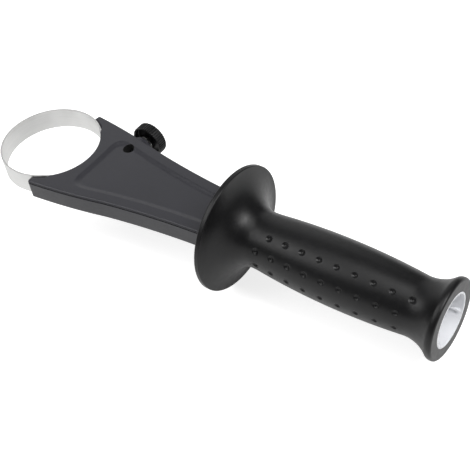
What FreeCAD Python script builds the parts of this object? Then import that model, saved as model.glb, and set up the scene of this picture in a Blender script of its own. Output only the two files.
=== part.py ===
import FreeCAD, Part

import math
import os
import re

import Sketcher

# Side handle for a rotary hammer or hammer drill.
# Frame: origin at the centre of the strap ring, +X along the handle towards the grip's
# open end, +Y towards the thumb screw, +Z along the tool's spindle.

# Driving dimensions in millimetres, degrees or counts. Each one becomes a sheet cell.
SIZES = {
    # Strap of spring steel, bent round the tool's collar
    "collar_radius": 30.0,
    "strap_gauge": 1.0,
    "strap_width": 13.4,
    "leg_width": 7.8,
    "leg_angle": 56.0,
    "shoulder_inset": 14.0,
    "bend_radius": 1.0,
    "tab_flat": 2.2,
    "tab_reach": 5.0,
    "tab_gap": 0.1,
    # Travel of the strap from the shown position
    "slacken_travel": 3.75,
    "tighten_travel": 0.5,
    "running_gap": 0.05,
    "strap_gap": 0.3,
    "slot_outer_gap": 0.45,
    # Moulded grip base
    "base_gauge": 12.8,
    "tooth_angle": 53.0,
    "horn_tip_angle": 69.5,
    "horn_nose": 0.24,
    "horn_reach": 3.4,
    "waist_setback": 32.0,
    "waist_step": 8.2,
    "base_end_x": 134.5,
    "end_step": 8.4,
    "flank_radius": 420.0,
    "sweep_radius": 560.0,
    "horn_round": 1.6,
    "edge_round": 0.7,
    "bead_height": 1.1,
    "seam_height": 0.8,
    "seam_depth": 0.6,
    "panel_depth": 1.0,
    "panel_side_margin": 5.0,
    "panel_saddle_margin": 7.5,
    "panel_start_inset": 5.5,
    "panel_end_margin": 6.5,
    "panel_rear_margin": 4.6,
    "panel_slope": 3.0,
    "panel_flank_radius": 840.0,
    "panel_sweep_radius": 1120.0,
    "channel_gap": 0.3,
    # Clamp bolt, M8
    "bolt_radius": 4.0,
    "bolt_reach": 29.5,
    "bolt_head_length": 5.0,
    "bolt_head_half": 5.5,
    "bolt_neck_half": 3.9,
    "neck_flat_half": 2.3,
    "bolt_bore_gap": 0.4,
    "bolt_chamfer": 0.8,
    # Thrust washer between base and grip
    "washer_gauge": 1.5,
    "washer_radius": 11.0,
    "face_gap": 0.05,
    # Grip nut and its retainer
    "nut_setback": 15.5,
    "nut_gauge": 6.5,
    "nut_flats": 13.0,
    "retainer_gauge": 1.5,
    "retainer_radius": 9.0,
    # Grip core
    "core_flange_radius": 17.2,
    "core_flange_gauge": 3.0,
    "core_cone_length": 4.95,
    "core_neck_length": 7.5,
    "core_step_length": 8.5,
    "core_neck_radius": 12.2,
    "core_front_radius": 13.7,
    "core_belly_radius": 400.0,
    "core_belly_length": 86.0,
    "core_back_radius": 13.9,
    "core_back_length": 12.0,
    "core_mouth_radius": 15.15,
    "core_wall": 1.25,
    "core_bore_radius": 11.4,
    # Rubber sleeve with guard
    "guard_setback": 1.4,
    "guard_gauge": 3.2,
    "guard_radius": 36.5,
    "rim_round": 0.5,
    "rim_front_round": 1.0,
    "trumpet_length": 8.9,
    "trumpet_radius": 18.92,
    "trumpet_hollow": 23.2,
    "neck_hollow": 13.0,
    "neck_length": 8.0,
    "neck_radius": 16.17,
    "neck_sweep": 55.4,
    "neck_fade_length": 5.6,
    "belly_start_radius": 16.45,
    "belly_radius": 425.0,
    "belly_length": 85.8,
    "belly_end_radius": 16.2,
    "flare_radius": 20.3,
    "flare_length": 14.9,
    "lip_gauge": 3.9,
    "lip_radius": 22.2,
    "lip_round": 1.3,
    "lip_drop": 0.55,
    # Dimples in the sleeve
    "dimple_ball": 2.0,
    "dimple_depth": 0.9,
    "dimple_pitch": 10.4,
    "dimple_lead": 1.0,
    "dimple_stagger": 5.5,
    "dimple_count": 9,
    "dimple_row_angle": 32.2,
    "dimple_rows_each_side": 4,
    "grip_clocking": 250.4,
    # Depth rod hole and thumb screw, M6
    "thumb_setback": 17.4,
    "rod_hole_setback": 16.2,
    "rod_hole_inset": 6.8,
    "rod_hole_radius": 3.3,
    "boss_reach": 4.8,
    "boss_radius": 6.2,
    "insert_radius": 4.6,
    "insert_length": 6.6,
    "screw_radius": 3.0,
    "tip_radius": 2.35,
    "tip_length": 1.6,
    "tip_rest_gap": 4.0,
    "tip_stem_radius": 1.2,
    "tip_stem_length": 4.0,
    "stud_collar_radius": 5.0,
    "collar_travel": 1.8,
    "knob_travel": 2.8,
    "knob_length": 6.4,
    "knob_radius": 10.4,
    "knob_wall": 1.3,
    "knob_cup_depth": 3.5,
    "knob_chamfer": 0.9,
    "flute_count": 36,
    "flute_radius": 0.62,
    "flute_depth": 0.4,
}

# Places that follow from the sizes.
PLACES = {
    "horn_radius": "(collar_radius + strap_gauge + strap_gap)",
    "horn_x": "(horn_radius * cos(horn_tip_angle) + horn_nose)",
    "horn_half": "(collar_radius + horn_reach)",
    "waist_x": "(collar_radius + waist_setback)",
    "waist_half": "(horn_half - waist_step)",
    "base_end_half": "(waist_half - end_step)",
    "shoulder_x": "(collar_radius - shoulder_inset)",
    "tab_rise": "(bolt_neck_half + running_gap + tab_flat)",
    "tab_x": "((collar_radius - tab_rise * sin(leg_angle)) / cos(leg_angle))",
    "bolt_end_x": "(base_end_x + bolt_reach)",
    "core_face_x": "(base_end_x + washer_gauge + face_gap)",
    "core_neck_x": "(core_face_x + core_flange_gauge + core_cone_length)",
    "core_neck_end_x": "(core_neck_x + core_neck_length)",
    "core_front_x": "(core_neck_end_x + core_step_length)",
    "core_back_x": "(core_front_x + core_belly_length)",
    "core_mouth_x": "(core_back_x + core_back_length)",
    "nut_x": "(base_end_x + nut_setback)",
    "nut_end_x": "(nut_x + nut_gauge)",
    "core_hub_end_x": "(nut_end_x + retainer_gauge)",
    "guard_x": "(base_end_x + guard_setback)",
    "guard_end_x": "(guard_x + guard_gauge)",
    "trumpet_x": "(guard_end_x + trumpet_length)",
    "neck_x": "(trumpet_x + neck_length)",
    "belly_start_x": "(neck_x + neck_fade_length)",
    "belly_end_x": "(belly_start_x + belly_length)",
    "lip_front_x": "(belly_end_x + flare_length)",
    "grip_end_x": "(lip_front_x + lip_gauge)",
    "dimple_start_x": "(belly_start_x - dimple_lead)",
    "thumb_x": "(collar_radius + thumb_setback)",
    "rod_hole_x": "(collar_radius + rod_hole_setback)",
    "rod_hole_y": "(waist_half - rod_hole_inset)",
    "boss_end_y": "(waist_half + boss_reach)",
    "insert_start_y": "(boss_end_y - insert_length)",
    "tip_rest_y": "(rod_hole_y + tip_rest_gap)",
    "stud_collar_y": "(boss_end_y + collar_travel)",
    "knob_start_y": "(boss_end_y + knob_travel)",
    "knob_end_y": "(knob_start_y + knob_length)",
}

doc = FreeCAD.newDocument("side_handle")
sheet = doc.addObject("Spreadsheet::Sheet", "sizes")
for row, (alias, number) in enumerate(SIZES.items(), start=1):
    sheet.set(f"A{row}", alias)
    sheet.set(f"B{row}", str(number))
    sheet.setAlias(f"B{row}", alias)
doc.recompute()

SIZE_WORDS = re.compile(r"\b(" + "|".join(SIZES) + r")\b")
PLACE_WORDS = re.compile(r"\b(" + "|".join(PLACES) + r")\b")
pieces = []


def bound(expression):
    """The expression with each place written out and each size name pointed at the sheet."""
    while PLACE_WORDS.search(expression):
        expression = PLACE_WORDS.sub(lambda found: PLACES[found.group(1)], expression)
    return SIZE_WORDS.sub(r"sizes.\1", expression)


def number_of(expression):
    """The present value of an expression, for first guesses and for loops."""
    return float(sheet.evalExpression(bound(expression)))


def plane_of(body, role):
    """One of a body's own origin planes or axes."""
    return [item for item in body.Origin.OriginFeatures if item.Role == role][0]


def new_body(label):
    """A body for one piece, named as its file will be."""
    body = doc.addObject("PartDesign::Body", label)
    body.Label = label
    pieces.append(body)
    return body


def new_sketch(body, name, role="XY_Plane", offset=None):
    """A sketch on an origin plane, moved along the plane's normal by an expression."""
    sketch = body.newObject("Sketcher::SketchObject", name)
    sketch.AttachmentSupport = [(plane_of(body, role), "")]
    sketch.MapMode = "FlatFace"
    if offset:
        sketch.setExpression("AttachmentOffset.Base.z", bound(offset))
    return sketch


def pin_down(sketch, kind, geometry, point, expression):
    """Ties one coordinate of a sketch point to an expression."""
    rule = Sketcher.Constraint(kind, -1, 1, geometry, point, number_of(expression))
    index = sketch.addConstraint(rule)
    sketch.setExpression(f"Constraints[{index}]", bound(expression))


def add_arc(sketch, first, second, radius, turn):
    """A minor arc between two spots that turns left (+1) or right (-1)."""
    chord = second - first
    normal = FreeCAD.Vector(-chord.y, chord.x, 0).normalize()
    rise = math.sqrt(max(radius**2 - (chord.Length / 2) ** 2, 0))
    centre = (first + second) * 0.5 + normal * (turn * rise)
    circle = Part.Circle(centre, FreeCAD.Vector(0, 0, 1), radius)
    angles = [math.atan2(spot.y - centre.y, spot.x - centre.x) for spot in (first, second)]
    if turn < 0:
        angles.reverse()
    return sketch.addGeometry(Part.ArcOfCircle(circle, angles[0], angles[1]))


def draw_loop(sketch, corners):
    """A closed outline. A corner is (x, y), or (x, y, radius, turn) where an arc leaves it."""
    spots = [FreeCAD.Vector(number_of(c[0]), number_of(c[1]), 0) for c in corners]
    edges = []
    for index, corner in enumerate(corners):
        first = spots[index]
        second = spots[(index + 1) % len(spots)]
        if len(corner) == 2:
            edge = sketch.addGeometry(Part.LineSegment(first, second))
            edges.append((edge, 1, 2))
            continue
        edge = add_arc(sketch, first, second, number_of(corner[2]), corner[3])
        edges.append((edge, 1, 2) if corner[3] > 0 else (edge, 2, 1))
        rule = sketch.addConstraint(Sketcher.Constraint("Radius", edge, number_of(corner[2])))
        sketch.setExpression(f"Constraints[{rule}]", bound(corner[2]))
    for index, (edge, start, end) in enumerate(edges):
        pin_down(sketch, "DistanceX", edge, start, corners[index][0])
        pin_down(sketch, "DistanceY", edge, start, corners[index][1])
        following = edges[(index + 1) % len(edges)]
        sketch.addConstraint(Sketcher.Constraint("Coincident", edge, end, following[0], following[1]))


def draw_circle(sketch, radius, x="0", y="0"):
    """A circle with a bound centre and radius."""
    centre = FreeCAD.Vector(number_of(x), number_of(y), 0)
    edge = sketch.addGeometry(Part.Circle(centre, FreeCAD.Vector(0, 0, 1), number_of(radius)))
    pin_down(sketch, "DistanceX", edge, 3, x)
    pin_down(sketch, "DistanceY", edge, 3, y)
    rule = sketch.addConstraint(Sketcher.Constraint("Radius", edge, number_of(radius)))
    sketch.setExpression(f"Constraints[{rule}]", bound(radius))


def rectangle(left, right, low, high):
    """Corners of a rectangle, anticlockwise."""
    return [(left, low), (right, low), (right, high), (left, high)]


def hexagon(flats):
    """Corners of a hexagon about the origin with its flats above and below."""
    reach = f"({flats}) / 2 / cos(30)"
    return [(f"{reach} * cos({60 * turn})", f"{reach} * sin({60 * turn})") for turn in range(6)]


def extrude(body, kind, name, sketch, length, both_ways=False, backwards=False):
    """A pad or pocket of a sketch."""
    feature = body.newObject(f"PartDesign::{kind}", name)
    feature.Profile = sketch
    feature.SideType = "Symmetric" if both_ways else "One side"
    feature.Reversed = backwards
    feature.setExpression("Length", bound(length))
    sketch.Visibility = False
    return feature


def revolve(body, name, sketch, axis="H_Axis"):
    """A full turn of a profile about one of its sketch's axes."""
    feature = body.newObject("PartDesign::Revolution", name)
    feature.Profile = sketch
    feature.ReferenceAxis = (sketch, [axis])
    feature.Angle = 360.0
    sketch.Visibility = False
    return feature


def edges_where(feature, test):
    """Names of a feature's edges that pass a test."""
    found = []
    for index, edge in enumerate(feature.Shape.Edges, start=1):
        if test(edge):
            found.append(f"Edge{index}")
    return found


def dress(body, kind, name, feature, edge_names, size):
    """A fillet or chamfer on named edges."""
    dressed = body.newObject(f"PartDesign::{kind}", name)
    dressed.Base = (feature, edge_names)
    dressed.setExpression("Radius" if kind == "Fillet" else "Size", bound(size))
    return dressed


def on_leg(distance, x):
    """Height above the centre line, at x, of a line along the leg at a distance from the origin."""
    return f"(({distance}) - ({x}) * cos(leg_angle)) / sin(leg_angle)"


def mirrored_y(corners):
    """The same outline on the near side, still anticlockwise."""
    flipped = [(corner[0], f"-({corner[1]})") for corner in corners]
    return list(reversed(flipped))


def build_strap():
    """Ring of flat spring steel whose narrowed legs run to two overlapped tabs."""
    body = new_body("clamp_band")
    inner = "collar_radius"
    outer = "(collar_radius + strap_gauge)"
    inner_trim = "bend_radius * tan(leg_angle / 2)"
    outer_trim = "(bend_radius + strap_gauge) * tan(leg_angle / 2)"

    def leg(side, tab_x):
        """Corners from the ring's outside to its inside, round one leg and its tab."""
        back_x = f"({tab_x} + strap_gauge)"
        outside = on_leg(outer, back_x)
        inside = on_leg(inner, tab_x)
        sign = "" if side > 0 else "-"
        bend = "bend_radius + strap_gauge"
        return [
            (f"{outer} * cos(leg_angle)", f"{sign}{outer} * sin(leg_angle)"),
            (
                f"{back_x} - {outer_trim} * sin(leg_angle)",
                f"{sign}({outside} + {outer_trim} * cos(leg_angle))",
                bend,
                -side,
            ),
            (back_x, f"{sign}({outside} - {outer_trim})"),
            (back_x, f"{sign}(-tab_reach)"),
            (tab_x, f"{sign}(-tab_reach)"),
            (tab_x, f"{sign}({inside} - {inner_trim})", "bend_radius", side),
            (
                f"{tab_x} - {inner_trim} * sin(leg_angle)",
                f"{sign}({inside} + {inner_trim} * cos(leg_angle))",
            ),
            (f"{inner} * cos(leg_angle)", f"{sign}{inner} * sin(leg_angle)"),
        ]

    far = leg(1, "tab_x")
    near = leg(-1, "(tab_x + strap_gauge + tab_gap)")
    corners = list(far)
    corners[-1] = (*far[-1], inner, 1)
    corners.append((f"-{inner}", "0", inner, 1))
    near_back = []
    for x, y, *arc in reversed(near):
        near_back.append([x, y, arc])
    # Reversing the near leg moves each arc to the corner that it now starts from.
    for index in range(len(near_back)):
        arc = near_back[index + 1][2] if index + 1 < len(near_back) else []
        near_back[index][2] = [arc[0], -arc[1]] if arc else []
    for x, y, arc in near_back:
        corners.append((x, y, *arc))
    corners[-1] = (corners[-1][0], corners[-1][1], outer, -1)
    corners.append((f"-{outer}", "0", outer, -1))
    sketch = new_sketch(body, "strap_path")
    draw_loop(sketch, corners)
    extrude(body, "Pad", "strap_pad", sketch, "strap_width", both_ways=True)
    reach = "(tab_x + 3 * strap_gauge)"
    trim = new_sketch(body, "leg_trim", "XZ_Plane")
    draw_loop(trim, rectangle("shoulder_x", reach, "leg_width / 2", "strap_width"))
    draw_loop(trim, rectangle("shoulder_x", reach, "-strap_width", "-leg_width / 2"))
    extrude(body, "Pocket", "leg_narrowing", trim, "4 * collar_radius", both_ways=True)
    # Each tab ends in a fork that slides sideways over the bolt's flat neck.
    side = "(neck_flat_half + running_gap)"
    root = "(bolt_neck_half + running_gap)"
    tip = "(tab_reach + running_gap)"
    depth = "strap_gauge + tab_gap"
    far_slot = new_sketch(body, "far_fork", "YZ_Plane", "tab_x - tab_gap / 2")
    draw_loop(far_slot, rectangle(f"-{tip}", root, f"-{side}", side))
    extrude(body, "Pocket", "far_fork_slot", far_slot, depth, backwards=True)
    near_slot = new_sketch(body, "near_fork", "YZ_Plane", "tab_x + strap_gauge + tab_gap / 2")
    draw_loop(near_slot, rectangle(f"-{root}", tip, f"-{side}", side))
    extrude(body, "Pocket", "near_fork_slot", near_slot, depth, backwards=True)
    return body


def base_half(margin="0"):
    """Corners of the far flank of the base, from horn to rear end, moved in by a margin."""
    return [
        ("horn_x", f"horn_half - ({margin})", f"flank_radius - ({margin})", -1),
        ("waist_x", f"waist_half - ({margin})", f"sweep_radius + ({margin})", 1),
        ("base_end_x", f"base_end_half - ({margin})"),
    ]


def build_base():
    """Moulded base: saddle, two horns, strap slots, bolt bore, rod hole and screw boss."""
    body = new_body("grip_base")
    far = base_half()
    near = [
        ("base_end_x", "-base_end_half", "sweep_radius", 1),
        ("waist_x", "-waist_half", "flank_radius", -1),
        ("horn_x", "-horn_half"),
    ]
    corners = [
        ("collar_radius * cos(tooth_angle)", "-collar_radius * sin(tooth_angle)", "collar_radius", 1),
        ("collar_radius * cos(tooth_angle)", "collar_radius * sin(tooth_angle)"),
        (
            "horn_radius * cos(tooth_angle)",
            "horn_radius * sin(tooth_angle)",
            "horn_radius",
            1,
        ),
        ("horn_radius * cos(horn_tip_angle)", "horn_radius * sin(horn_tip_angle)"),
        *far,
        *near,
        (
            "horn_radius * cos(horn_tip_angle)",
            "-horn_radius * sin(horn_tip_angle)",
            "horn_radius",
            1,
        ),
        ("horn_radius * cos(tooth_angle)", "-horn_radius * sin(tooth_angle)"),
    ]
    outline = new_sketch(body, "base_outline")
    draw_loop(outline, corners)
    plate = extrude(body, "Pad", "base_plate", outline, "base_gauge", both_ways=True)
    doc.recompute()

    horn_y = number_of("horn_half")
    horn_x = number_of("horn_x")

    def is_horn_corner(edge):
        middle = edge.CenterOfMass
        upright = abs(edge.Vertexes[0].Z - edge.Vertexes[-1].Z) > 1
        return upright and abs(middle.x - horn_x) < 0.01 and abs(abs(middle.y) - horn_y) < 0.01

    corners_cut = edges_where(plate, is_horn_corner)
    horns = dress(body, "Fillet", "horn_rounding", plate, corners_cut, "horn_round")
    doc.recompute()

    half = number_of("base_gauge / 2")
    saddle = number_of("collar_radius + 3 * strap_gauge")

    def is_flank_edge(edge):
        box = edge.BoundBox
        flat = box.ZLength < 0.01 and abs(abs(box.ZMin) - half) < 0.01
        side = min(abs(box.YMin), abs(box.YMax)) > number_of("base_end_half") - 0.1
        middle = edge.CenterOfMass
        return flat and side and math.hypot(middle.x, middle.y) > saddle

    flank = dress(
        body, "Fillet", "flank_rounding", horns, edges_where(horns, is_flank_edge), "edge_round"
    )
    flank.UseAllEdges = False

    boss = new_sketch(body, "boss_ring", "XZ_Plane", "-(boss_end_y - insert_radius)")
    draw_circle(boss, "boss_radius", "thumb_x")
    extrude(body, "Pad", "screw_boss", boss, "insert_radius", backwards=True)

    # Soft-edged panel sunk into both broad faces.
    for name, turn in (("upper", 1), ("lower", -1)):
        floor = new_sketch(
            body, f"{name}_panel_floor", "XY_Plane", f"{turn} * (base_gauge / 2 - panel_depth)"
        )
        draw_loop(floor, panel_outline("panel_slope"))
        brink = new_sketch(
            body, f"{name}_panel_brink", "XY_Plane", f"{turn} * (base_gauge / 2 + running_gap)"
        )
        draw_loop(brink, panel_outline("0"))
        sink = body.newObject("PartDesign::SubtractiveLoft", f"{name}_panel_sink")
        sink.Profile = floor
        sink.Sections = [brink]
        sink.Ruled = True

    # Seam line under the bead along each flank.
    for name, side in (("far", 1), ("near", -1)):
        seam = new_sketch(
            body, f"{name}_seam", "XY_Plane", "base_gauge / 2 - bead_height - seam_height"
        )
        draw_loop(seam, seam_outline(side))
        extrude(body, "Pocket", f"{name}_seam_cut", seam, "seam_height", backwards=True)

    # Slots for the two legs, and the straight mouth for the bolt head, meet inside.
    cavity_end = "(tab_x + 2 * strap_gauge + tab_gap + tighten_travel + strap_gap)"
    outer_wall = "collar_radius + strap_gauge + slot_outer_gap"
    inner_wall = "collar_radius - slacken_travel * cos(leg_angle) - strap_gap"
    slot_start = "shoulder_x + strap_gauge / 2"
    slot = [
        (slot_start, on_leg(inner_wall, slot_start)),
        (cavity_end, on_leg(inner_wall, cavity_end)),
        (cavity_end, on_leg(outer_wall, cavity_end)),
        (slot_start, on_leg(outer_wall, slot_start)),
    ]
    cavity_height = "leg_width + 2 * channel_gap"
    for name, shape in (("far_slot", slot), ("near_slot", mirrored_y(slot))):
        leg_slot = new_sketch(body, name)
        draw_loop(leg_slot, shape)
        extrude(body, "Pocket", f"{name}_cut", leg_slot, cavity_height, both_ways=True)
    mouth = new_sketch(body, "head_mouth")
    mouth_half = "bolt_head_half + 2 * strap_gap"
    draw_loop(
        mouth,
        rectangle("collar_radius - slacken_travel", cavity_end, f"-({mouth_half})", mouth_half),
    )
    extrude(body, "Pocket", "head_mouth_cut", mouth, cavity_height, both_ways=True)

    bore = new_sketch(body, "bolt_bore", "YZ_Plane", "base_end_x + strap_gap")
    draw_circle(bore, "bolt_radius + bolt_bore_gap")
    extrude(body, "Pocket", "bolt_bore_cut", bore, "base_end_x - tab_x")

    rod = new_sketch(body, "rod_hole")
    draw_circle(rod, "rod_hole_radius", "rod_hole_x", "rod_hole_y")
    extrude(body, "Pocket", "rod_hole_cut", rod, "base_gauge * 2", both_ways=True)

    seat_length = "boss_end_y + strap_gap - insert_start_y"
    seat = new_sketch(body, "insert_seat", "XZ_Plane", "-(boss_end_y + strap_gap)")
    draw_circle(seat, "insert_radius", "thumb_x")
    extrude(body, "Pocket", "insert_seat_cut", seat, seat_length, backwards=True)
    tip = new_sketch(body, "tip_way", "XZ_Plane", "-insert_start_y")
    draw_circle(tip, "screw_radius + running_gap * 2", "thumb_x")
    extrude(body, "Pocket", "tip_way_cut", tip, "insert_start_y - rod_hole_y", backwards=True)
    return body


def panel_outline(inward):
    """Outline of the sunk panel: two flanks, an arc along the saddle and a straight end."""
    saddle = f"(collar_radius + panel_saddle_margin + {inward})"
    margin = f"(panel_side_margin + {inward})"
    start_x = f"(collar_radius - panel_start_inset + {inward})"
    start_y = f"sqrt({saddle}^2 - {start_x}^2)"
    waist_y = f"(waist_half - {margin})"
    end_x = f"(base_end_x - panel_end_margin - {inward})"
    end_y = f"(base_end_half - panel_rear_margin - {inward})"
    return [
        (start_x, f"-{start_y}", saddle, 1),
        (start_x, start_y, "panel_flank_radius", -1),
        ("waist_x", waist_y, "panel_sweep_radius", 1),
        (end_x, end_y),
        (end_x, f"-{end_y}", "panel_sweep_radius", 1),
        ("waist_x", f"-{waist_y}", "panel_flank_radius", -1),
    ]


def seam_outline(side):
    """Area outside the seam's bottom along one flank."""
    beyond = "horn_half + base_gauge"
    inner = [
        ("horn_x", "horn_half - seam_depth", "flank_radius - seam_depth", -1),
        ("waist_x", "waist_half - seam_depth", "sweep_radius + seam_depth", 1),
        ("base_end_x", "base_end_half - seam_depth"),
        ("base_end_x", beyond),
        ("horn_x", beyond),
    ]
    if side > 0:
        return inner
    return [
        ("horn_x", f"-({beyond})"),
        ("base_end_x", f"-({beyond})"),
        ("base_end_x", "-(base_end_half - seam_depth)", "sweep_radius + seam_depth", 1),
        ("waist_x", "-(waist_half - seam_depth)", "flank_radius - seam_depth", -1),
        ("horn_x", "-(horn_half - seam_depth)"),
    ]


def build_bolt():
    """T-headed bolt: flat head, flat neck through both forked tabs, long round shank."""
    body = new_body("clamp_bolt")
    head = new_sketch(body, "head_block", "YZ_Plane", "tab_x - bolt_head_length")
    draw_loop(
        head,
        rectangle("-bolt_head_half", "bolt_head_half", "-bolt_neck_half", "bolt_neck_half"),
    )
    extrude(body, "Pad", "head_pad", head, "bolt_head_length")
    neck = new_sketch(body, "neck_section", "YZ_Plane", "tab_x")
    draw_loop(
        neck,
        rectangle("-bolt_neck_half", "bolt_neck_half", "-neck_flat_half", "neck_flat_half"),
    )
    neck_length = "2 * strap_gauge + tab_gap"
    extrude(body, "Pad", "neck_pad", neck, neck_length)
    shank = new_sketch(body, "shank_circle", "YZ_Plane", f"tab_x + {neck_length}")
    draw_circle(shank, "bolt_radius")
    pad = extrude(body, "Pad", "shank_pad", shank, f"bolt_end_x - tab_x - ({neck_length})")
    doc.recompute()
    end_x = number_of("bolt_end_x")
    tip = edges_where(pad, lambda edge: abs(edge.BoundBox.XMin - end_x) < 0.01)
    dress(body, "Chamfer", "thread_lead", pad, tip, "bolt_chamfer")
    return body


def build_thrust_washer():
    """Steel washer on which the grip turns against the base."""
    body = new_body("thrust_washer")
    sketch = new_sketch(body, "washer_section")
    draw_loop(
        sketch,
        rectangle(
            "base_end_x",
            "base_end_x + washer_gauge",
            "bolt_radius + bolt_bore_gap",
            "washer_radius",
        ),
    )
    revolve(body, "washer_turn", sketch)
    return body


def build_nut():
    """Hexagon nut in the core's pocket."""
    body = new_body("grip_nut")
    sketch = new_sketch(body, "nut_hexagon", "YZ_Plane", "nut_x")
    draw_loop(sketch, hexagon("nut_flats"))
    draw_circle(sketch, "bolt_radius + running_gap")
    extrude(body, "Pad", "nut_pad", sketch, "nut_gauge")
    return body


def build_retainer():
    """Press-in ring that keeps the nut in its pocket."""
    body = new_body("nut_retainer")
    sketch = new_sketch(body, "retainer_section")
    draw_loop(
        sketch,
        rectangle(
            "nut_x + nut_gauge",
            "nut_x + nut_gauge + retainer_gauge",
            "bolt_radius + bolt_bore_gap",
            "retainer_radius",
        ),
    )
    revolve(body, "retainer_turn", sketch)
    return body


def core_skin():
    """Corners along the outside of the core, front to open end, where the rubber grips it."""
    return [
        ("core_face_x", "core_flange_radius"),
        ("core_face_x + core_flange_gauge", "core_flange_radius"),
        ("core_neck_x", "core_neck_radius"),
        ("core_neck_end_x", "core_neck_radius"),
        ("core_front_x", "core_front_radius", "core_belly_radius", -1),
        ("core_back_x", "core_back_radius"),
        ("core_mouth_x", "core_back_radius"),
        ("grip_end_x", "core_mouth_radius"),
    ]


def build_core():
    """Hollow plastic core with a solid hub for the nut and an open rear end."""
    body = new_body("grip_core")
    skin = core_skin()
    sketch = new_sketch(body, "core_section")
    inside = [
        ("grip_end_x", "core_mouth_radius - core_wall"),
        ("core_mouth_x", "core_back_radius - core_wall"),
        ("core_hub_end_x", "core_bore_radius"),
        ("core_hub_end_x", "retainer_radius"),
        ("nut_x + nut_gauge", "retainer_radius"),
        ("nut_x + nut_gauge", "bolt_radius + bolt_bore_gap"),
        ("core_face_x", "bolt_radius + bolt_bore_gap"),
    ]
    draw_loop(sketch, list(reversed_loop(skin + inside)))
    revolve(body, "core_turn", sketch)
    pocket = new_sketch(body, "nut_pocket", "YZ_Plane", "nut_x + nut_gauge")
    draw_loop(pocket, hexagon("nut_flats"))
    extrude(body, "Pocket", "nut_pocket_cut", pocket, "nut_gauge")
    return body


def reversed_loop(corners):
    """The same closed outline walked the other way, each arc kept between its two corners."""
    count = len(corners)
    for step in range(count):
        here = corners[count - 1 - step]
        before = corners[(count - 2 - step) % count]
        arc = (before[2], -before[3]) if len(before) > 2 else ()
        yield (here[0], here[1], *arc)


def build_sleeve():
    """Rubber sleeve with guard disc, barrel, waist and end lip, and its dimples."""
    body = doc.addObject("PartDesign::Body", "sleeve_blank")
    skin = core_skin()
    outside = [
        ("grip_end_x", "lip_radius - lip_round", "lip_round", 1),
        ("grip_end_x - lip_round", "lip_radius"),
        ("lip_front_x", "lip_radius - lip_drop", "flare_radius", -1),
        ("belly_end_x", "belly_end_radius", "belly_radius", 1),
        ("belly_start_x", "belly_start_radius", "neck_sweep", -1),
        ("neck_x", "neck_radius", "neck_hollow", -1),
        ("trumpet_x", "trumpet_radius", "trumpet_hollow", -1),
        ("guard_end_x", "guard_radius - rim_round", "rim_round", 1),
        ("guard_end_x - rim_round", "guard_radius"),
        ("guard_x + rim_front_round", "guard_radius", "rim_front_round", 1),
        ("guard_x", "guard_radius - rim_front_round"),
        ("guard_x", "core_flange_radius"),
    ]
    sketch = new_sketch(body, "sleeve_section")
    draw_loop(sketch, skin[1:] + outside)
    revolve(body, "sleeve_turn", sketch)

    dimples = doc.addObject("Part::Feature", "dimple_balls")
    dimples.Shape = Part.makeCompound(dimple_balls())
    cut = doc.addObject("Part::Cut", "grip_sleeve")
    cut.Label = "grip_sleeve"
    cut.Base = body
    cut.Tool = dimples
    pieces.append(cut)
    return cut


def dimple_balls():
    """Balls that leave the rows of dimples: the two outermost rows are staggered."""
    ball = number_of("dimple_ball")
    depth = number_of("dimple_depth")
    crown_x = number_of("(belly_start_x + belly_end_x) / 2")
    half_chord = number_of("(belly_end_x - belly_start_x) / 2")
    bulge = number_of("belly_radius")
    lift = math.sqrt(bulge**2 - half_chord**2)
    edge = number_of("(belly_start_radius + belly_end_radius) / 2")
    reach = int(number_of("dimple_rows_each_side"))
    balls = []
    for row in range(-reach, reach + 1):
        angle = math.radians(number_of("grip_clocking") + row * number_of("dimple_row_angle"))
        outward = FreeCAD.Vector(0, math.cos(angle), math.sin(angle))
        stagger = number_of("dimple_stagger") if abs(row) == reach else 0
        for step in range(int(number_of("dimple_count"))):
            x = number_of("dimple_start_x") + stagger + step * number_of("dimple_pitch")
            surface = edge + math.sqrt(bulge**2 - (x - crown_x) ** 2) - lift
            centre = FreeCAD.Vector(x, 0, 0) + outward * (surface + ball - depth)
            balls.append(Part.makeSphere(ball, centre, outward))
    return balls


def build_insert():
    """Threaded steel insert moulded into the boss."""
    body = new_body("thumb_nut")
    sketch = new_sketch(body, "insert_ring", "XZ_Plane", "-insert_start_y")
    draw_circle(sketch, "insert_radius", "thumb_x")
    draw_circle(sketch, "screw_radius + running_gap", "thumb_x")
    extrude(body, "Pad", "insert_pad", sketch, "boss_end_y - insert_start_y", backwards=True)
    return body


def turned_about_y(label, corners):
    """A piece turned about the thumb screw's axis from corners (radius, y)."""
    body = new_body(label)
    sketch = new_sketch(body, f"{label}_section")
    draw_loop(sketch, corners)
    revolve(body, f"{label}_turn", sketch, "V_Axis")
    body.setExpression("Placement.Base.x", bound("thumb_x"))
    return body


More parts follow.
